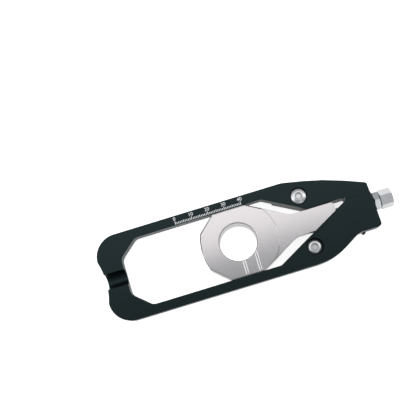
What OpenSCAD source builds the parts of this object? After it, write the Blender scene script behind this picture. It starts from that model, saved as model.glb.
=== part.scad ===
// Chain adjuster for a motorcycle rear axle: a slotted outer plate, a slider that
// carries the axle, the bolt that draws it along, and the plate behind the head.
// The back lies on z = 0, the axle passes along +Z at the origin, the bolt is at +X.

/* [Axle slider] */
// Diameter of the axle bore
axle_d = 22; // [16:0.5:26]
// Width of the slider across its two guiding flats
slider_w = 40; // [38:0.5:44]
// Length of each guiding flat
flat_len = 20; // [14:0.5:22]
// Axle centre to the rounded nose
nose_reach = 22; // [20:0.5:26]
// Height of the nose between the two slanted corners
nose_h = 22; // [14:0.5:28]
// How far the nose bulges out between those corners
nose_bulge = 2; // [1:0.1:3]
// Radius of the raised face round the axle, where it steps down to the tail
boss_r = 24; // [22.8:0.1:25]
// Height of the raised face above the outer plate
boss_proud = 1; // [0:0.1:2]
// Slant of the flanks that narrow to the tail
flank_angle = 29; // [27:0.5:31]
// Width of the tail that the bolt is threaded into
tail_w = 13.4; // [10:0.2:14]
// Thickness of the tail
tail_t = 7.9; // [7.6:0.1:8.4]
// Axle centre to the end of the tail
tail_reach = 60; // [56:0.5:61]
// Radius of the tail's end corners
tail_tip_r = 2; // [0.5:0.1:3]
// Radius where a flank runs into the tail
tail_root_r = 9; // [4:0.5:14]
// Bevel of the raised face along the flats and the nose
flat_edge = 0.7; // [0.3:0.1:1.2]
// Bevel of the raised face along the slanted sides
slant_edge = 0.8; // [0.4:0.1:1.3]
// Bevel where the raised face steps down to the tail
step_edge = 0.3; // [0.2:0.1:0.6]
// Bevel at the mouth of the axle bore
bore_edge = 0.6; // [0.2:0.1:1]
// Width of each index groove below the bore
index_w = 1.8; // [1:0.1:2.4]
// Depth of each index groove
index_deep = 0.25; // [0.15:0.05:0.6]
// Distance from the first index groove to the second
index_pitch = 8; // [6:0.5:9]
// Travel of the slider towards the bolt end from its place in the photo
travel_near = 6; // [2:0.5:6]

/* [Outer plate] */
// Width of the two rails
rail_w = 5.75; // [4.5:0.25:8]
// Thickness of the rails
rail_t = 9.5; // [9.3:0.1:11]
// Axle centre to the far wall of the window
window_far = 68.5; // [66:0.5:74]
// Length of the window's slanted far corners along the rails
corner_x = 10.9; // [6:0.1:14]
// Height of the window's slanted far corners across the rails
corner_y = 9.45; // [6:0.05:12]
// Radius inside the window's far corners
corner_r = 5; // [2:0.5:7]
// Radius where the window's near sides start to close in
near_r = 3; // [1:0.5:5]
// Radius where the window's near sides run into the tail's channel
channel_r = 2; // [1:0.5:4]
// Radius in the end corners of the tail's channel
channel_end_r = 1; // [0.5:0.1:2]
// Distance from the channel's upper side down to the tip of the lower arm
tip_drop = 1.6; // [1.2:0.1:2.5]
// Radius at the tip of the lower arm
tip_r = 0.3; // [0.2:0.1:0.6]
// Length of the bar that closes the far end
end_bar = 14; // [10:0.5:18]
// Radius of the plate's two outer far corners
outer_r = 13.5; // [8:0.5:18]
// Depth of the shallow hollow in the far end
hollow_deep = 1.9; // [1:0.1:3]
// Width of the shallow hollow in the far end
hollow_w = 25; // [18:0.5:30]
// Width of the round-bottomed groove across the end bar
groove_w = 9; // [6:0.5:11]
// Depth of that groove from the front face
groove_deep = 7; // [5:0.25:8]
// Length of the solid end that the bolt passes through
end_wall = 15; // [12:0.5:18]
// Rise of the lower arm above the rest of the front face
cover_rise = 1.5; // [1:0.1:2.5]
// Axle centre to the foot of the ramp up to the lower arm
ramp_x = 24; // [22:0.5:28]
// Length of that ramp
ramp_len = 10; // [6:0.5:11]
// Axle centre to the bend where the upper edge leaves the rail
head_x = 34; // [30:0.5:38]
// Radius of that bend
head_x_r = 15; // [5:1:30]
// Slope of the upper edge just after that bend
head_slope = 11.5; // [9:0.5:13]
// Length of that slope along the plate
slope_len = 24.25; // [20:0.25:28]
// Radius of the long bend between that slope and the bolt end
slope_r = 139; // [60:1:139]
// Axis to the upper corner of the bolt end
end_top = 11.7; // [10:0.1:13]
// How far that corner stands in from the bolt end
end_lean = 0.6; // [0:0.1:1.5]
// Axis to the flat lower edge of the bolt end
end_low = 15.3; // [13:0.1:17]
// Length of that flat lower edge
end_flat = 14; // [10:0.5:16]
// Slope of the lower edge as it rises to the bolt end
low_slope = 31; // [28:0.5:34]
// Radius where the lower rail bends up
low_bend_r = 37; // [20:1:37]
// Radius where the lower edge meets the bolt end's flat edge
low_blend_r = 7.5; // [4:0.5:9]
// Radius of the two corners of the bolt end
end_r = 2.2; // [1:0.1:4]

/* [Rear plate] */
// Thickness of the plate behind the head
rear_t = 5; // [4.5:0.25:6]
// How far its edge stands in from the head's edge
rear_inset = 0.8; // [0.4:0.1:1.5]
// Axle centre to its blunt ends on the rails
rear_start = 26; // [25:0.5:30]
// Radius of the corners of those blunt ends
rear_r = 1; // [0.5:0.1:2]
// Length of the bridge that closes the channel behind the tail
bridge_len = 15; // [10:0.5:16]
// Distance from the bolt end to the nib on the lower edge
nib_in = 9.7; // [6:0.1:11]
// Width of the nib at its root in the rear plate
nib_w = 3.4; // [2:0.1:4]
// How far the nib stands out past the outer plate's lower edge
nib_out = 0.9; // [0.4:0.1:1.5]
// Radius at the nib's end
nib_r = 0.4; // [0.2:0.1:0.6]

/* [Adjuster bolt and lock nut] */
// Thread diameter of the adjuster bolt
bolt_d = 6; // [5:0.5:6]
// Depth of the bolt's axis below the front face
bolt_deep = 5.2; // [5:0.05:5.4]
// Length of the bolt under its head
bolt_len = 65; // [62:0.5:66]
// Bevel at the bolt's tip
bolt_edge = 0.8; // [0.3:0.1:1.2]
// Width across flats of the bolt head and the lock nut
hex_af = 10; // [8:0.5:10.5]
// How far their round end faces stand in from the flats
hex_face_in = 0.1; // [0:0.05:0.3]
// Slant of the bevel round their end faces
hex_bevel = 30; // [20:1:40]
// Length of the bolt head
head_len = 7.4; // [4:0.1:9]
// Turn of the bolt head from flat side up
head_turn = 12; // [0:1:29]
// Thickness of the lock nut
nut_t = 3.5; // [3:0.1:4]
// Turn of the lock nut from flat side up
nut_turn = 30; // [0:1:59]

/* [Head screws] */
// Axle centre to the two screws along the plate
screw_x = 41.7; // [40:0.1:45]
// How far the two screws stand in from the lines of the window's sides
screw_in = 4.65; // [3.8:0.05:5.2]
// Thread diameter of the screws
screw_d = 5; // [4:0.5:5]
// Distance from the screws' ends to the back of the rear plate
screw_short = 0.25; // [0.1:0.05:2.5]
// Diameter of the screw heads
button_d = 9.5; // [8:0.1:10]
// Height of the screw heads
button_h = 2.75; // [2:0.05:3]
// Height of the screw heads' tops above the front face
button_proud = 0.5; // [0:0.05:0.8]
// Height of the straight rim of the screw heads
button_rim = 1.5; // [1:0.05:1.8]
// Diameter of the flat ring at the top of each domed head
button_top_d = 5; // [4.6:0.1:6]
// Width across flats of the screw sockets
socket_af = 3; // [2.5:0.1:3.2]
// Depth of the screw sockets
socket_deep = 1.5; // [1.2:0.1:1.8]
// Width of the bevel at the mouth of the screw sockets
socket_lip = 0.7; // [0.3:0.1:0.7]

/* [Clearances] */
// Gap at each guiding flat of the slider
flat_gap = 0.25; // [0.15:0.05:0.5]
// Gap at each side of the tail
tail_side_gap = 0.3; // [0.2:0.05:0.5]
// Gap between the tail and the arm over it
cover_gap = 0.2; // [0.15:0.05:0.4]
// Gap between the tail and the rear plate
rear_gap = 0.3; // [0.2:0.05:0.4]
// Room between the flanks and the window's near sides at the end of travel
taper_room = 4; // [2:0.5:6]
// Room between the tail and the end of its channel at the end of travel
tail_room = 1.5; // [0.5:0.1:3]
// Room between the bolt's tip and the end of its tapped hole at the end of travel
tap_room = 1; // [0.5:0.1:2]
// Radial gap of the bolt in the end wall
bolt_gap = 0.1; // [0.05:0.01:0.1]
// Radial gap of the plain cylinders that stand for threads
thread_gap = 0.05; // [0.02:0.01:0.1]
// Radial gap of the screws in the outer plate
screw_gap = 0.25; // [0.15:0.05:0.5]
// Radial gap round the sunk screw heads
button_gap = 0.3; // [0.2:0.05:0.6]
// Gap between the lock nut and the plate, and under the bolt head
nut_gap = 0.3; // [0.2:0.05:0.6]

/* [Hidden] */
$fn = 96;
// How far a cut runs past the face it opens
past = 1;
// How deep one solid is rooted in the one it is joined to
root = 0.5;
// How far inside a socket the cone that bevels its mouth begins
cone_in = 0.2;
// Largest angle of one step along a rounded corner
arc_step = 7.5;
// Share of a side that one of its two rounded corners may take
side_share = 0.499;
// Angle from a flat of a hexagon to its corner
hex_half = 30;

// Heights
front_z = rear_t + rail_t;
cover_z = front_z + cover_rise;
boss_z = front_z + boss_proud;
bolt_z = front_z - bolt_deep;
tail_z0 = rear_t + rear_gap;
tail_z1 = tail_z0 + tail_t;
roof_z = tail_z1 + cover_gap;
seat_z = front_z + button_proud - button_h;
tall = cover_z + 2 * past;

// Plan of the plate
window_h = slider_w / 2 + flat_gap;
channel_h = tail_w / 2 + tail_side_gap;
half_w = window_h + rail_w;
screw_y = window_h - screw_in;
far_x = -(window_far + end_bar);
channel_end = tail_reach + travel_near + tail_room;
near_x = channel_end + end_wall;
bend_x = head_x + slope_len;
bend_y = half_w - slope_len * tan(head_slope);
rise_x = near_x - end_flat - (half_w - end_low) / tan(low_slope);
taper_x = flat_len / 2 + travel_near + taper_room;
taper_end = taper_x + (window_h - channel_h) / tan(flank_angle);
tip_y = channel_h - tip_drop;
crease_y = tip_y + tip_r;
hollow_r = (hollow_w * hollow_w / 4 + hollow_deep * hollow_deep) / (2 * hollow_deep);

// Slider
flank_end = flat_len / 2 + (slider_w - tail_w) / 2 / tan(flank_angle);
nose_x = -(nose_reach - nose_bulge);
nose_r = (nose_h * nose_h / 4 + nose_bulge * nose_bulge) / (2 * nose_bulge);
index_r = (index_w * index_w / 4 + index_deep * index_deep) / (2 * index_deep);

// Bolt
nut_x = near_x + nut_gap;
head_bolt_x = nut_x + nut_t + nut_gap;
bolt_tip_x = head_bolt_x - bolt_len;
tap_end = bolt_tip_x - travel_near - tap_room;

plate_black = [0.10, 0.12, 0.125];
slider_silver = [0.84, 0.82, 0.83];
steel = [0.80, 0.80, 0.79];

function unit(v) = v / norm(v);
function turn(a) = a > 180 ? a - 360 : a < -180 ? a + 360 : a;

// Points of the arc that rounds corner b between a and c; the radius gives way to a short side
function corner(a, b, c, r) =
    let(
        u = unit(a - b),
        v = unit(c - b),
        half = acos(max(-1, min(1, u * v))) / 2,
        room = side_share * min(norm(a - b), norm(c - b)) * tan(half),
        q = min(r, room),
        centre = b + unit(u + v) * q / sin(half),
        s = b + u * q / tan(half) - centre,
        e = b + v * q / tan(half) - centre,
        a0 = atan2(s[1], s[0]),
        sweep = turn(atan2(e[1], e[0]) - a0),
        n = ceil(max(abs(sweep) / arc_step, 1))
    )
    [for (i = [0 : n]) centre + q * [cos(a0 + sweep * i / n), sin(a0 + sweep * i / n)]];

// A closed outline from corners written [x, y, radius]
function rounded(c) =
    let(n = len(c))
    [
        for (i = [0 : n - 1])
        let(
            a = [c[(i + n - 1) % n][0], c[(i + n - 1) % n][1]],
            b = [c[i][0], c[i][1]],
            d = [c[(i + 1) % n][0], c[(i + 1) % n][1]]
        )
        each (c[i][2] > 0 ? corner(a, b, d, c[i][2]) : [b])
    ];

function flipped(c) = [for (i = [len(c) - 1 : -1 : 0]) [c[i][0], -c[i][1], c[i][2]]];

// Upper edge of the head from the bolt end to the rail, and the lower edge back again
head_top = [
    [near_x - end_lean, end_top, end_r],
    [bend_x, bend_y, slope_r],
    [head_x, half_w, head_x_r]
];
head_low = [
    [rise_x, -half_w, low_bend_r],
    [near_x - end_flat, -end_low, low_blend_r],
    [near_x, -end_low, end_r]
];

module plate_outline() {
    difference() {
        polygon(rounded(concat(
            head_top,
            [[far_x, half_w, outer_r], [far_x, -half_w, outer_r]],
            head_low
        )));
        translate([far_x + hollow_deep - hollow_r, 0])
            circle(r = hollow_r);
    }
}

// Far part of the window, up to where its near sides start to close in
far_half = [
    [-window_far, window_h - corner_y, corner_r],
    [-window_far + corner_x, window_h, corner_r]
];

// The upper near side turns along the tail; the lower one crosses over it to the tip
module window_outline() {
    polygon(rounded(concat(
        flipped(far_half),
        far_half,
        [
            [taper_x, window_h, near_r],
            [taper_end, channel_h, channel_r],
            [channel_end, channel_h, channel_end_r],
            [channel_end, tip_y, tip_r],
            [taper_x, -window_h, near_r]
        ]
    )));
}

// The space that flanks and tail run in, behind the front face
module channel_outline() {
    lead_x = taper_x - taper_room;
    polygon(rounded([
        [taper_x, window_h, near_r],
        [lead_x, window_h, 0],
        [lead_x, -window_h, 0],
        [taper_x, -window_h, near_r],
        [taper_end, -channel_h, channel_r],
        [channel_end, -channel_h, channel_end_r],
        [channel_end, channel_h, channel_end_r],
        [taper_end, channel_h, channel_r]
    ]));
}

module at_screws() {
    for (side = [1, -1])
        translate([screw_x, side * screw_y, 0])
            children();
}

// Side view of the raised lower arm with its ramp
module cover_profile() {
    translate([0, half_w + past, 0])
        rotate([90, 0, 0])
            linear_extrude(2 * (half_w + past))
                polygon([
                    [ramp_x, front_z - root],
                    [near_x + past, front_z - root],
                    [near_x + past, cover_z],
                    [ramp_x + ramp_len, cover_z],
                    [ramp_x, front_z]
                ]);
}

module raised_arm() {
    intersection() {
        translate([0, 0, front_z - root])
            linear_extrude(cover_rise + root)
                intersection() {
                    plate_outline();
                    translate([0, -half_w - past])
                        square([near_x + past, half_w + past + crease_y]);
                }
        cover_profile();
    }
}

module bar_groove() {
    r = groove_w / 2;
    z = front_z - groove_deep + r;
    translate([far_x - past, 0, z])
        rotate([0, 90, 0])
            cylinder(r = r, h = end_bar + 2 * past);
    translate([far_x - past, -r, z])
        cube([end_bar + 2 * past, groove_w, groove_deep]);
}

module outer_plate() {
    color(plate_black)
    difference() {
        union() {
            translate([0, 0, rear_t])
                linear_extrude(rail_t)
                    plate_outline();
            raised_arm();
        }
        linear_extrude(tall)
            window_outline();
        linear_extrude(roof_z)
            channel_outline();
        bar_groove();
        at_screws() {
            cylinder(d = screw_d + 2 * screw_gap, h = tall);
            translate([0, 0, seat_z])
                cylinder(d = button_d + 2 * button_gap, h = tall);
        }
        translate([channel_end - past, 0, bolt_z])
            rotate([0, 90, 0])
                cylinder(r = bolt_d / 2 + bolt_gap, h = end_wall + 2 * past);
    }
}

module rear_outline() {
    intersection() {
        polygon(rounded(concat(
            [for (c = head_top) [c[0] - rear_inset, c[1] - rear_inset, c[2]]],
            [
                [rear_start, half_w - rear_inset, rear_r],
                [rear_start, -half_w + rear_inset, rear_r]
            ],
            [for (c = head_low) [c[0] - rear_inset, c[1] + rear_inset, c[2]]]
        )));
        translate([rear_start, -half_w])
            square([near_x, 2 * half_w]);
    }
}

// The small nib that shows past the lower edge near the bolt end
module nib_outline() {
    foot_y = -end_low + rear_inset + root;
    translate([near_x - nib_in, 0])
        polygon(rounded([
            [-nib_w / 2, foot_y, 0],
            [-nib_r, -end_low - nib_out, nib_r],
            [nib_r, -end_low - nib_out, nib_r],
            [nib_w / 2, foot_y, 0]
        ]));
}

// Bridged behind the tail, open behind the tip of the window, as the view through it shows
module rear_plate() {
    bridge_x = tail_reach - bridge_len;
    color(plate_black)
    difference() {
        linear_extrude(rear_t)
            union() {
                rear_outline();
                nib_outline();
            }
        translate([0, 0, -past])
            linear_extrude(tall)
                difference() {
                    channel_outline();
                    translate([bridge_x, -half_w])
                        square([bridge_len, 2 * half_w]);
                }
        translate([0, 0, -past])
            at_screws()
                cylinder(r = screw_d / 2 + thread_gap, h = tall);
    }
}

// A bevel of size c along one straight edge of the raised face, from a to b, outside on the right
module edge_cut(a, b, c) {
    d = b - a;
    translate([a[0], a[1], boss_z])
        rotate([0, 0, atan2(d[1], d[0])])
            translate([-past, 0, 0])
                rotate([90, 0, 90])
                    linear_extrude(norm(d) + 2 * past)
                        polygon([[c + past, past], [-past, -c - past], [-past, past]]);
}

module bevelled_disc(r, e) {
    rotate_extrude()
        polygon([[0, 0], [r, 0], [r, boss_z - e], [r - e, boss_z], [0, boss_z]]);
}

// Upper half of the slider's straight sides, nose to flank, and the bevel of each side
side_points = [
    [nose_x, nose_h / 2],
    [-flat_len / 2, slider_w / 2],
    [flat_len / 2, slider_w / 2],
    [flank_end, tail_w / 2]
];
side_edges = [slant_edge, flat_edge, slant_edge];

// The slanted sides are bevelled a little deeper than the flats and the nose between them
module boss() {
    lower = [for (p = side_points) [p[0], -p[1]]];
    blunt_x = nose_x - nose_bulge - past;
    intersection() {
        difference() {
            linear_extrude(boss_z)
                polygon(concat(
                    [[blunt_x, -nose_h / 2], [blunt_x, nose_h / 2]],
                    side_points,
                    [for (i = [3 : -1 : 0]) lower[i]]
                ));
            for (i = [0 : 2]) {
                edge_cut(side_points[i + 1], side_points[i], side_edges[i]);
                edge_cut(lower[i], lower[i + 1], side_edges[i]);
            }
        }
        bevelled_disc(boss_r, step_edge);
        translate([-nose_reach + nose_r, 0, 0])
            bevelled_disc(nose_r, flat_edge);
    }
}

module tail() {
    translate([0, 0, tail_z0])
        linear_extrude(tail_t)
            polygon(rounded([
                [0, -slider_w / 2, 0],
                [flat_len / 2, -slider_w / 2, 0],
                [flank_end, -tail_w / 2, tail_root_r],
                [tail_reach, -tail_w / 2, tail_tip_r],
                [tail_reach, tail_w / 2, tail_tip_r],
                [flank_end, tail_w / 2, tail_root_r],
                [flat_len / 2, slider_w / 2, 0],
                [0, slider_w / 2, 0]
            ]));
}

module slider() {
    color(slider_silver)
    difference() {
        union() {
            boss();
            tail();
        }
        translate([0, 0, -past])
            cylinder(d = axle_d, h = tall);
        translate([0, 0, boss_z - bore_edge])
            cylinder(
                r1 = axle_d / 2,
                r2 = axle_d / 2 + bore_edge + past,
                h = bore_edge + past
            );
        for (x = [0, index_pitch])
            translate([x, 0, boss_z - index_deep + index_r])
                rotate([90, 0, 0])
                    cylinder(r = index_r, h = slider_w);
        translate([tap_end, 0, bolt_z])
            rotate([0, 90, 0])
                cylinder(r = bolt_d / 2 + thread_gap, h = tail_reach - tap_end + past);
    }
}

// Hexagonal bar along +X, its far end bevelled and the near one too if both is 1.
// The revolved bevel starts in the middle of a flat, well away from a corner.
module hex_bar(len, twist, both) {
    corner_d = hex_af / cos(hex_half);
    face_r = hex_af / 2 - hex_face_in;
    full_r = corner_d / 2 + hex_face_in;
    rise = (full_r - face_r) * tan(hex_bevel);
    rotate([0, 90, 0])
        rotate([0, 0, twist + hex_half])
            intersection() {
                cylinder(d = corner_d, h = len, $fn = 6);
                rotate([0, 0, hex_half])
                    rotate_extrude()
                        polygon(concat(
                            [[0, 0]],
                            both == 1 ? [[face_r, 0], [full_r, rise]] : [[full_r, 0]],
                            [[full_r, len - rise], [face_r, len], [0, len]]
                        ));
            }
}

module adjuster_bolt() {
    color(steel)
    translate([0, 0, bolt_z])
    union() {
        translate([head_bolt_x, 0, 0])
            hex_bar(head_len, head_turn, 0);
        translate([bolt_tip_x, 0, 0])
            rotate([0, 90, 0])
                rotate_extrude()
                    polygon([
                        [0, 0],
                        [bolt_d / 2 - bolt_edge, 0],
                        [bolt_d / 2, bolt_edge],
                        [bolt_d / 2, bolt_len + root],
                        [0, bolt_len + root]
                    ]);
    }
}

module lock_nut() {
    color(steel)
    translate([nut_x, 0, bolt_z])
    difference() {
        hex_bar(nut_t, nut_turn, 1);
        translate([-past, 0, 0])
            rotate([0, 90, 0])
                cylinder(r = bolt_d / 2 + thread_gap, h = nut_t + 2 * past);
    }
}

// Domed head on a straight rim, with a hexagonal socket that is bevelled at its mouth
module button_screw() {
    rim_r = button_d / 2;
    top_r = button_top_d / 2;
    dome_z = (top_r * top_r - rim_r * rim_r + button_h * button_h - button_rim * button_rim)
        / (2 * (button_h - button_rim));
    cone_r = socket_af / 2 - cone_in;
    cone_h = socket_lip + cone_in;
    screw_len = seat_z - screw_short;
    color(steel)
    translate([0, 0, seat_z])
    difference() {
        union() {
            intersection() {
                translate([0, 0, dome_z])
                    sphere(r = norm([rim_r, button_rim - dome_z]));
                cylinder(r = rim_r, h = button_h);
            }
            translate([0, 0, -screw_len])
                cylinder(d = screw_d, h = screw_len + root);
        }
        translate([0, 0, button_h - socket_deep])
            cylinder(d = socket_af / cos(hex_half), h = socket_deep + past, $fn = 6);
        translate([0, 0, button_h - cone_h])
            cylinder(r1 = cone_r, r2 = cone_r + cone_h + past, h = cone_h + past);
    }
}

module upper_screw() {
    translate([screw_x, screw_y, 0])
        button_screw();
}

module lower_screw() {
    translate([screw_x, -screw_y, 0])
        button_screw();
}

outer_plate();
rear_plate();
slider();
adjuster_bolt();
lock_nut();
upper_screw();
lower_screw();
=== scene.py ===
import math

import bpy
from mathutils import Matrix, Vector


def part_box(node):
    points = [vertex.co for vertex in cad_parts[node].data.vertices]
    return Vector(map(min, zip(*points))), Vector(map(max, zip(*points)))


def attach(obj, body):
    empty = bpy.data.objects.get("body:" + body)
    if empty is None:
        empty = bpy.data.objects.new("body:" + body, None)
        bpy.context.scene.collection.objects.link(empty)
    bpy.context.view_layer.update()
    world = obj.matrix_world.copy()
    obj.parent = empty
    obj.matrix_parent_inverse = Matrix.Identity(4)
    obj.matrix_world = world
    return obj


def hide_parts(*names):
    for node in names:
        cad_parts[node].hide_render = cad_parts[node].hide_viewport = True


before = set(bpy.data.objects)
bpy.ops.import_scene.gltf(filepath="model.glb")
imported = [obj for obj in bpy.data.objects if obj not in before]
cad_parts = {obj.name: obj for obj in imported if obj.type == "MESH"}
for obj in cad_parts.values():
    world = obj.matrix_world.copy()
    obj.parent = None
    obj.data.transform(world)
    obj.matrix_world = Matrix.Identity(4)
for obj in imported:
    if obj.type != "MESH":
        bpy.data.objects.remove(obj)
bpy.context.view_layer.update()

MM = 0.001

# Sizes of the adjuster that the looks depend on
RAIL_FRONT = 14.5 * MM
BOLT_AXIS = 9.3 * MM
NUT_TO_HEAD = 0.3 * MM
HEAD_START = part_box("lock_nut")[1].x + NUT_TO_HEAD

# The bolt's thread
THREAD_MAJOR = 3.0 * MM
THREAD_MINOR = 2.4 * MM
THREAD_PITCH = 1.0 * MM
THREAD_CREST = 0.12 * MM
THREAD_STEPS = 32
THREAD_TIP_BEVEL = 0.7 * MM
THREAD_INTO_HEAD = 0.2 * MM

# How wide the edges are softened
OUTER_PLATE_EDGE = 0.22 * MM
REAR_PLATE_EDGE = 0.2 * MM
SLIDER_EDGE = 0.12 * MM
SCREW_EDGE = 0.1 * MM
NUT_EDGE = 0.12 * MM
BOLT_HEAD_EDGE = 0.1 * MM

# Points this close are merged, on the CAD copies and on the thread and figures
SAME_POINT = 0.002 * MM
SAME_FINE_POINT = 0.001 * MM

# Faces that turn by less than this lie in one plane
SAME_PLANE = math.radians(0.3)

# What a test of a place allows on either side
HAIR = 0.01 * MM

# How upright a level face's normal is, and from what area on a wall is flat and not part of a curve
LEVEL_FACE = 0.99999
BROAD_ON_PLATES = 150 * MM * MM
BROAD_ON_SMALL_PIECES = 45 * MM * MM

# The materials: how deep the bumps are, how far a normal rises while the cutter's lines fade out,
# and the span that the sum of the grain and the clouds keeps to
BUMP_DEPTH = 0.02 * MM
LINES_FADE = (0.1, 0.5)
NOISE_SUM = (0.6, 1.4)

# The scale on the rail
SCALE_ZERO = -32.0 * MM
SCALE_LENGTH = 40
TICK_FOOT = 20.7 * MM
TICK_SHORT = 1.25 * MM
TICK_FIVE = 1.5 * MM
TICK_TEN = 1.9 * MM
TICK_WIDTH = 0.4 * MM
FIGURE_FOOT = 23.1 * MM
FIGURE_SIZE = 3.0 * MM
FIGURE_EVERY = 10
FIGURE_CURVE_STEPS = 6
ENGRAVING_SUNK = 0.03 * MM
ENGRAVING_PROUD = 0.015 * MM

# Where the camera stands and what it looks at, measured from the axle bore's centre
CAMERA_PLACE = Vector((-8.6, -55.6, 514.5)) * MM
CAMERA_LOOK = Vector((-14.17, 30.46, 14.5)) * MM
CAMERA_ROLL = math.radians(16.923)
CAMERA_LENS = 77.51
CAMERA_SENSOR = 36
CAMERA_NEAREST = 0.05

# The floor, and how much whiter than lit it looks, straight on and in the metal
FLOOR_WIDTH = 6.0
FLOOR_BELOW = 0.02 * MM
FLOOR_SHADE = 0.88
FLOOR_GLOW = 0.8
FLOOR_GLOW_MIRRORED = 0.45

# The tent's colour, how bright it is low down and overhead, and between which heights it dims
TENT_COLOUR = (0.93, 0.97, 1.0)
TENT_LOW = 0.5
TENT_OVERHEAD = 0.42
TENT_DIMS = (0.1, 0.9)


# Modelling by hand, in small steps

def deselect():
    bpy.ops.object.select_all(action="DESELECT")


def activate(piece):
    deselect()
    piece.select_set(True)
    bpy.context.view_layer.objects.active = piece


def in_edit_mode(piece, work):
    """Runs work(bpy.ops.mesh) on the piece in edit mode."""
    activate(piece)
    bpy.ops.object.mode_set(mode="EDIT")
    work(bpy.ops.mesh)
    bpy.ops.object.mode_set(mode="OBJECT")


def select_parts(piece, corners=None, edges=None):
    """Selects the corners or the edges that pass the test of their place."""
    mesh = piece.data
    for group in (mesh.vertices, mesh.edges, mesh.polygons):
        group.foreach_set("select", [False] * len(group))
    if corners:
        for corner in mesh.vertices:
            corner.select = corners(corner.co)
    if edges:
        for edge in mesh.edges:
            start, end = (mesh.vertices[i].co for i in edge.vertices)
            edge.select = edges(start, end)


def select_mode(kind):
    bpy.context.tool_settings.mesh_select_mode = (kind == "VERT", kind == "EDGE", kind == "FACE")


def added(name):
    """Names the piece that the last operator left active."""
    piece = bpy.context.object
    piece.name = name
    piece.data.name = name
    return piece


def join(pieces):
    """Makes one object of the pieces, the first of them."""
    deselect()
    for piece in pieces:
        piece.select_set(True)
    bpy.context.view_layer.objects.active = pieces[0]
    bpy.ops.object.join()


def settle(piece):
    """Leaves the object at the origin, unturned and unscaled, with its place in its mesh."""
    activate(piece)
    bpy.ops.object.transform_apply(location=True, rotation=True, scale=True)


def apply_modifier(piece, kind, **settings):
    activate(piece)
    modifier = piece.modifiers.new(kind.title(), kind)
    for key, value in settings.items():
        setattr(modifier, key, value)
    bpy.ops.object.modifier_apply(modifier=modifier.name)


def soften(piece, width, angle=30, segments=3):
    """Rounds every edge that turns by more than angle degrees."""
    apply_modifier(
        piece, "BEVEL", width=width, segments=segments, limit_method="ANGLE",
        angle_limit=math.radians(angle), use_clamp_overlap=False, harden_normals=False,
    )


def smooth(piece, angle=32):
    """Smooth over the softened edges and the curved walls."""
    activate(piece)
    bpy.ops.object.shade_smooth_by_angle(angle=math.radians(angle))
    apply_modifier(piece, "WEIGHTED_NORMAL", mode="FACE_AREA", weight=50, keep_sharp=True)


def keep_flat(piece, broad):
    """Shades the level faces, and the walls larger than broad, as true planes up to their corners."""
    mesh = piece.data
    normals = [corner.vector.copy() for corner in mesh.corner_normals]
    for face in mesh.polygons:
        if face.area > broad or abs(face.normal.z) > LEVEL_FACE:
            for corner in face.loop_indices:
                normals[corner] = face.normal.copy()
    mesh.normals_split_custom_set(normals)


def merge_points(mesh, distance):
    mesh.select_all(action="SELECT")
    mesh.remove_doubles(threshold=distance)


def turn_outwards(mesh):
    mesh.select_all(action="SELECT")
    mesh.normals_make_consistent(inside=False)


def cap_openings(mesh):
    mesh.select_all(action="DESELECT")
    mesh.select_non_manifold()
    mesh.fill_holes(sides=0)
    turn_outwards(mesh)


def broad_faces(mesh):
    """Joins what lies in one plane, and splits it again where its outline turns inwards."""
    mesh.select_all(action="SELECT")
    mesh.dissolve_limited(angle_limit=SAME_PLANE)
    mesh.select_all(action="SELECT")
    mesh.vert_connect_concave()


def merged_copy(node, name):
    """The CAD node's shape as one closed mesh of broad faces, ready for its edges to be softened."""
    piece = bpy.data.objects.new(name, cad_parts[node].data.copy())
    piece.data.name = name
    bpy.context.scene.collection.objects.link(piece)
    piece.data.materials.clear()

    def close(mesh):
        merge_points(mesh, SAME_POINT)
        mesh.customdata_custom_splitnormals_clear()
        broad_faces(mesh)

    in_edit_mode(piece, close)
    return piece


def dress(piece, material, body, slot=None, *nodes):
    """Gives the piece its finish and its body, and puts it in the place of the CAD nodes."""
    piece.data.materials.clear()
    piece.data.materials.append(material)
    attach(piece, body)
    if nodes:
        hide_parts(*nodes)


# Shader nodes

def add_node(tree, kind, **settings):
    node = tree.nodes.new(kind)
    for key, value in settings.items():
        setattr(node, key, value)
    return node


def noise(tree, coordinates, scale, detail):
    node = add_node(tree, "ShaderNodeTexNoise")
    node.inputs["Detail"].default_value = detail
    tree.links.new(scale, node.inputs["Scale"])
    tree.links.new(coordinates, node.inputs["Vector"])
    return node.outputs["Fac"]


def remap(tree, value, low, high, to_low, to_high):
    node = add_node(tree, "ShaderNodeMapRange")
    tree.links.new(value, node.inputs["Value"])
    for name, number in (
        ("From Min", low), ("From Max", high), ("To Min", to_low), ("To Max", to_high),
    ):
        node.inputs[name].default_value = number
    return node.outputs["Result"]


def new_group(name, inputs, outputs):
    group = bpy.data.node_groups.new(name, "ShaderNodeTree")
    for label, value in inputs:
        group.interface.new_socket(
            name=label, in_out="INPUT", socket_type="NodeSocketFloat"
        ).default_value = value
    for label in outputs:
        group.interface.new_socket(name=label, in_out="OUTPUT", socket_type="NodeSocketFloat")
    return group, add_node(group, "NodeGroupInput"), add_node(group, "NodeGroupOutput")


def build_satin():
    """Blasted and anodised metal: a fine grain, and slow clouds from the bath."""
    group, enter, leave = new_group(
        "satin", [("Grain Scale", 2600.0), ("Cloud Scale", 45.0)], ["Grain", "Clouds"]
    )
    place = add_node(group, "ShaderNodeTexCoord").outputs["Object"]
    grain = noise(group, place, enter.outputs["Grain Scale"], 3.0)
    clouds = noise(group, place, enter.outputs["Cloud Scale"], 4.0)
    group.links.new(grain, leave.inputs["Grain"])
    group.links.new(clouds, leave.inputs["Clouds"])
    return group


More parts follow.
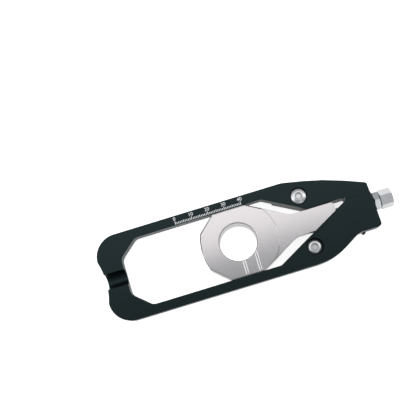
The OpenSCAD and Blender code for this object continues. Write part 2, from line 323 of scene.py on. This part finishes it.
def build_wall_marks():
    """Lines that a milling cutter leaves round the upright walls, one above the other."""
    group, enter, leave = new_group(
        "wall_marks", [("Line Scale", 900.0)], ["Lines"]
    )
    coordinates = add_node(group, "ShaderNodeTexCoord")
    split = add_node(group, "ShaderNodeSeparateXYZ")
    group.links.new(coordinates.outputs["Object"], split.inputs["Vector"])
    stretched = add_node(group, "ShaderNodeCombineXYZ")
    group.links.new(split.outputs["Z"], stretched.inputs["Z"])
    lines = noise(group, stretched.outputs["Vector"], enter.outputs["Line Scale"], 2.0)
    facing = add_node(group, "ShaderNodeSeparateXYZ")
    group.links.new(coordinates.outputs["Normal"], facing.inputs["Vector"])
    upright = add_node(group, "ShaderNodeMath", operation="ABSOLUTE")
    group.links.new(facing.outputs["Z"], upright.inputs[0])
    wall = remap(group, upright.outputs[0], *LINES_FADE, 1.0, 0.0)
    masked = add_node(group, "ShaderNodeMath", operation="MULTIPLY")
    group.links.new(lines, masked.inputs[0])
    group.links.new(wall, masked.inputs[1])
    group.links.new(masked.outputs[0], leave.inputs["Lines"])
    return group


SATIN = build_satin()
WALL_MARKS = build_wall_marks()


def metal_finish(name, shades, metallic, specular, tint, rough, grain, lines, scales):
    """An anodised or plated finish. shades and rough are the two ends that the clouds move between."""
    material = bpy.data.materials.new(name)
    material.use_nodes = True
    tree = material.node_tree
    shader = tree.nodes["Principled BSDF"]
    shader.inputs["Metallic"].default_value = metallic
    shader.inputs["Specular IOR Level"].default_value = specular
    shader.inputs["Specular Tint"].default_value = (*tint, 1)

    satin = add_node(tree, "ShaderNodeGroup", node_tree=SATIN)
    satin.inputs["Grain Scale"].default_value = scales[0]
    satin.inputs["Cloud Scale"].default_value = scales[1]

    shade = add_node(tree, "ShaderNodeMix", data_type="RGBA")
    shade.inputs["A"].default_value = (*shades[0], 1)
    shade.inputs["B"].default_value = (*shades[1], 1)
    tree.links.new(satin.outputs["Clouds"], shade.inputs["Factor"])
    tree.links.new(shade.outputs["Result"], shader.inputs["Base Color"])

    mixed = add_node(tree, "ShaderNodeMath", operation="ADD")
    tree.links.new(satin.outputs["Clouds"], mixed.inputs[0])
    tree.links.new(satin.outputs["Grain"], mixed.inputs[1])
    tree.links.new(
        remap(tree, mixed.outputs[0], *NOISE_SUM, *rough), shader.inputs["Roughness"]
    )

    fine = add_node(tree, "ShaderNodeBump")
    fine.inputs["Strength"].default_value = grain
    fine.inputs["Distance"].default_value = BUMP_DEPTH
    tree.links.new(satin.outputs["Grain"], fine.inputs["Height"])
    marks = add_node(tree, "ShaderNodeGroup", node_tree=WALL_MARKS)
    walls = add_node(tree, "ShaderNodeBump")
    walls.inputs["Strength"].default_value = lines
    walls.inputs["Distance"].default_value = BUMP_DEPTH
    tree.links.new(marks.outputs["Lines"], walls.inputs["Height"])
    tree.links.new(fine.outputs["Normal"], walls.inputs["Normal"])
    tree.links.new(walls.outputs["Normal"], shader.inputs["Normal"])
    return material


black_anodised = metal_finish(
    "black_anodised", [(0.0014, 0.0026, 0.0030), (0.0026, 0.0042, 0.0048)],
    metallic=0.0, specular=0.33, tint=(0.66, 1.0, 1.04), rough=(0.30, 0.40),
    grain=0.2, lines=0.15, scales=(2600, 40),
)
silver_anodised = metal_finish(
    "silver_anodised", [(0.64, 0.622, 0.626), (0.70, 0.681, 0.685)],
    metallic=1.0, specular=0.5, tint=(1, 1, 1), rough=(0.16, 0.22),
    grain=0.12, lines=0.2, scales=(4000, 30),
)
plated_steel = metal_finish(
    "plated_steel", [(0.60, 0.61, 0.615), (0.69, 0.70, 0.705)],
    metallic=1.0, specular=0.5, tint=(1, 1, 1), rough=(0.25, 0.37),
    grain=0.2, lines=0.0, scales=(3200, 160),
)
engraved_white = metal_finish(
    "engraved_white", [(0.90, 0.92, 0.92), (0.95, 0.96, 0.96)],
    metallic=0.0, specular=0.3, tint=(1, 1, 1), rough=(0.5, 0.7),
    grain=0.3, lines=0.0, scales=(5200, 600),
)


# Pieces

def machined(node, name, material, body, slot, edge, broad):
    """The CAD node with softened edges, in its finish."""
    piece = merged_copy(node, name)
    soften(piece, edge)
    in_edit_mode(piece, broad_faces)
    smooth(piece)
    keep_flat(piece, broad)
    dress(piece, material, body, slot, node)


def make_plates():
    machined("outer_plate", "outer_plate_machined", black_anodised, "plate",
             "black_anodised", OUTER_PLATE_EDGE, BROAD_ON_PLATES)
    machined("rear_plate", "rear_plate_machined", black_anodised, "plate",
             "black_anodised", REAR_PLATE_EDGE, BROAD_ON_PLATES)


def make_slider():
    machined("slider", "slider_machined", silver_anodised, "slider",
             "silver_anodised", SLIDER_EDGE, BROAD_ON_SMALL_PIECES)


def make_screws():
    for side in ("upper", "lower"):
        machined(side + "_screw", side + "_screw_turned", plated_steel, "plate",
                 "plated_steel", SCREW_EDGE, BROAD_ON_SMALL_PIECES)


def make_nut():
    machined("lock_nut", "lock_nut_turned", plated_steel, "nut",
             "plated_steel", NUT_EDGE, BROAD_ON_SMALL_PIECES)


def thread_rod(start, end):
    """One turn's profile wound along the bolt's axis, closed and cut to length."""
    bpy.ops.mesh.primitive_plane_add(size=THREAD_PITCH)
    rod = added("bolt_thread")
    corners = [
        (THREAD_MINOR, 0),
        (THREAD_MAJOR, (THREAD_PITCH - THREAD_CREST) / 2),
        (THREAD_MAJOR, (THREAD_PITCH + THREAD_CREST) / 2),
        (THREAD_MINOR, THREAD_PITCH),
    ]
    order = list(rod.data.polygons[0].vertices)
    for index, (radius, along) in zip(order, corners):
        rod.data.vertices[index].co = (radius, 0, along)
    settle(rod)
    open_side = {order[0], order[3]}
    select_mode("EDGE")

    def keep_outline(mesh):
        mesh.select_all(action="SELECT")
        mesh.delete(type="ONLY_FACE")

    in_edit_mode(rod, keep_outline)
    for edge in rod.data.edges:
        edge.select = set(edge.vertices) == open_side
    for corner in rod.data.vertices:
        corner.select = False
    in_edit_mode(rod, lambda mesh: mesh.delete(type="EDGE"))
    turns = math.ceil((end - start) / THREAD_PITCH) + 2
    apply_modifier(
        rod, "SCREW", axis="Z", angle=2 * math.pi, screw_offset=THREAD_PITCH,
        iterations=turns, steps=THREAD_STEPS, render_steps=THREAD_STEPS,
        use_merge_vertices=True, merge_threshold=SAME_FINE_POINT,
        use_normal_calculate=True,
    )

    def close(mesh):
        merge_points(mesh, SAME_FINE_POINT)
        cap_openings(mesh)

    in_edit_mode(rod, close)
    rod.matrix_world = (
        Matrix.Translation((start - THREAD_PITCH, 0, BOLT_AXIS))
        @ Matrix.Rotation(math.radians(90), 4, "Y")
    )
    settle(rod)
    bpy.ops.mesh.primitive_cylinder_add(
        vertices=2 * THREAD_STEPS, radius=THREAD_MAJOR + SAME_POINT, depth=end - start,
        location=((start + end) / 2, 0, BOLT_AXIS), rotation=(0, math.radians(90), 0),
    )
    cutter = added("thread_end_cutter")
    settle(cutter)
    tip = start + HAIR
    select_mode("EDGE")
    select_parts(cutter, edges=lambda a, b: a.x < tip and b.x < tip)
    in_edit_mode(cutter, lambda mesh: mesh.bevel(offset=THREAD_TIP_BEVEL, segments=1))
    apply_modifier(rod, "BOOLEAN", operation="INTERSECT", object=cutter, solver="EXACT")
    bpy.data.objects.remove(cutter)
    return rod


def make_bolt():
    """The CAD bolt's head, with a threaded rod where its plain shank was."""
    head = merged_copy("adjuster_bolt", "adjuster_bolt_turned")
    under = HEAD_START - HAIR
    select_mode("VERT")
    select_parts(head, corners=lambda place: place.x < under)

    def cut_shank(mesh):
        mesh.delete(type="VERT")
        cap_openings(mesh)

    in_edit_mode(head, cut_shank)
    soften(head, BOLT_HEAD_EDGE, angle=20, segments=2)
    rod = thread_rod(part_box("adjuster_bolt")[0].x, HEAD_START + THREAD_INTO_HEAD)
    join([head, rod])
    smooth(head)
    dress(head, plated_steel, "bolt", "plated_steel", "adjuster_bolt")


def box_piece(low, high, name):
    size = high - low
    bpy.ops.mesh.primitive_cube_add(size=1, location=(low + high) / 2)
    piece = added(name)
    piece.scale = size
    settle(piece)
    return piece


def make_ticks():
    """A tick each millimetre, longer at the fives and tens, filled with white."""
    ticks = []
    for mark in range(SCALE_LENGTH + 1):
        reach = TICK_SHORT
        if mark % 5 == 0:
            reach = TICK_FIVE
        if mark % 10 == 0:
            reach = TICK_TEN
        x = SCALE_ZERO + mark * MM
        low = Vector((x - TICK_WIDTH / 2, TICK_FOOT, RAIL_FRONT - ENGRAVING_SUNK))
        high = Vector((x + TICK_WIDTH / 2, TICK_FOOT + reach, RAIL_FRONT + ENGRAVING_PROUD))
        ticks.append(box_piece(low, high, "tick"))
    join(ticks)
    scale = added("scale_ticks")
    dress(scale, engraved_white, "plate")


def make_figures():
    """The scale's plain numbers, one each ten millimetres."""
    figures = []
    for mark in range(0, SCALE_LENGTH + 1, FIGURE_EVERY):
        place = (SCALE_ZERO + mark * MM, FIGURE_FOOT, RAIL_FRONT - ENGRAVING_SUNK)
        bpy.ops.object.text_add(location=place)
        figure = bpy.context.object
        figure.data.body = str(mark)
        figure.data.align_x = "CENTER"
        figure.data.size = FIGURE_SIZE
        figure.data.extrude = (ENGRAVING_SUNK + ENGRAVING_PROUD) / 2
        figure.data.resolution_u = FIGURE_CURVE_STEPS
        figure.location.z += figure.data.extrude
        activate(figure)
        bpy.ops.object.convert(target="MESH")
        settle(bpy.context.object)
        figures.append(bpy.context.object)
    join(figures)
    numbers = added("scale_figures")

    def close(mesh):
        merge_points(mesh, SAME_FINE_POINT)
        turn_outwards(mesh)

    in_edit_mode(numbers, close)
    dress(numbers, engraved_white, "plate")


make_plates()
make_slider()
make_screws()
make_nut()
make_bolt()
make_ticks()
make_figures()


# Floor, light and camera

def floor_finish():
    """Pale and matt, and white where the camera or the metal sees it."""
    material = bpy.data.materials.new("pale_floor")
    material.use_nodes = True
    tree = material.node_tree
    shader = tree.nodes["Principled BSDF"]
    shader.inputs["Base Color"].default_value = (FLOOR_SHADE, FLOOR_SHADE, FLOOR_SHADE, 1)
    shader.inputs["Roughness"].default_value = 0.9
    shader.inputs["Specular IOR Level"].default_value = 0.1
    rays = add_node(tree, "ShaderNodeLightPath")
    mirrored = add_node(tree, "ShaderNodeMath", operation="MAXIMUM")
    tree.links.new(rays.outputs["Is Glossy Ray"], mirrored.inputs[0])
    tree.links.new(rays.outputs["Is Transmission Ray"], mirrored.inputs[1])
    faint = add_node(tree, "ShaderNodeMath", operation="MULTIPLY")
    faint.inputs[1].default_value = FLOOR_GLOW_MIRRORED
    tree.links.new(mirrored.outputs[0], faint.inputs[0])
    glow = add_node(tree, "ShaderNodeMath", operation="MULTIPLY_ADD")
    glow.inputs[1].default_value = FLOOR_GLOW
    tree.links.new(rays.outputs["Is Camera Ray"], glow.inputs[0])
    tree.links.new(faint.outputs[0], glow.inputs[2])
    shader.inputs["Emission Color"].default_value = (1, 1, 1, 1)
    tree.links.new(glow.outputs[0], shader.inputs["Emission Strength"])
    return material


def make_floor():
    bpy.ops.mesh.primitive_plane_add(size=FLOOR_WIDTH, location=(0, 0, -FLOOR_BELOW))
    floor = added("floor")
    floor.data.materials.append(floor_finish())


def softbox(name, shape, place, aim, size, power, colour):
    lamp = bpy.data.lights.new(name, "AREA")
    lamp.shape = shape
    lamp.size, lamp.size_y = size
    lamp.energy = power
    lamp.color = colour
    holder = bpy.data.objects.new(name, lamp)
    holder.location = place
    holder.rotation_euler = (Vector(aim) - Vector(place)).to_track_quat("-Z", "Y").to_euler()
    holder.visible_camera = False
    bpy.context.scene.collection.objects.link(holder)


def studio_world():
    """An even tent of light, dimmer overhead, that the camera sees as white."""
    world = bpy.data.worlds.new("studio")
    bpy.context.scene.world = world
    world.use_nodes = True
    tree = world.node_tree
    tent = tree.nodes["Background"]
    tent.inputs["Color"].default_value = (*TENT_COLOUR, 1)
    direction = add_node(tree, "ShaderNodeTexCoord").outputs["Generated"]
    height = add_node(tree, "ShaderNodeSeparateXYZ")
    tree.links.new(direction, height.inputs["Vector"])
    level = remap(tree, height.outputs["Z"], *TENT_DIMS, TENT_LOW, TENT_OVERHEAD)
    rays = add_node(tree, "ShaderNodeLightPath")
    seen = add_node(tree, "ShaderNodeMath", operation="MAXIMUM")
    tree.links.new(level, seen.inputs[0])
    tree.links.new(rays.outputs["Is Camera Ray"], seen.inputs[1])
    tree.links.new(seen.outputs[0], tent.inputs["Strength"])


def make_lights():
    """Over the upper rail, from both sides, from in front, and a card for the bolt's head."""
    softbox("key_softbox", "RECTANGLE", place=(0.0, 0.177, 0.3), aim=(0.0, 0.177, 0.0),
            size=(1.0, 0.3), power=0.84, colour=(1.0, 0.955, 0.955))
    softbox("left_softbox", "RECTANGLE", place=(-0.55, -0.05, 0.42), aim=(0, 0, 0),
            size=(0.3, 0.45), power=0.6, colour=(0.97, 0.98, 1.0))
    softbox("right_softbox", "RECTANGLE", place=(0.6, 0.0, 0.42), aim=(0.05, 0, 0),
            size=(0.3, 0.45), power=0.6, colour=(0.97, 0.98, 1.0))
    softbox("low_softbox", "ELLIPSE", place=(0.26, -0.79, 0.59), aim=(0.084, 0, 0),
            size=(0.35, 0.35), power=0.3, colour=(0.98, 0.99, 1.0))
    softbox("bolt_card", "RECTANGLE", place=(0.149, -0.093, 0.3), aim=(0.09, 0, 0.01),
            size=(0.1, 0.1), power=0.009, colour=(1.0, 0.97, 0.98))
    studio_world()


def make_camera():
    """Looks down at the front, rolled so that the plate climbs to the right."""
    camera = bpy.data.cameras.new("camera")
    camera.lens = CAMERA_LENS
    camera.sensor_width = CAMERA_SENSOR
    camera.clip_start = CAMERA_NEAREST
    holder = bpy.data.objects.new("camera", camera)
    bpy.context.scene.collection.objects.link(holder)
    forward = (CAMERA_LOOK - CAMERA_PLACE).normalized()
    right = forward.cross(Vector((0, 1, 0))).normalized()
    up = right.cross(forward)
    turned_right = right * math.cos(CAMERA_ROLL) - up * math.sin(CAMERA_ROLL)
    turned_up = right * math.sin(CAMERA_ROLL) + up * math.cos(CAMERA_ROLL)
    facing = Matrix((turned_right, turned_up, -forward)).transposed().to_4x4()
    holder.matrix_world = Matrix.Translation(CAMERA_PLACE) @ facing
    bpy.context.scene.camera = holder


make_floor()
make_lights()
make_camera()
bpy.context.scene.view_settings.view_transform = "Standard"
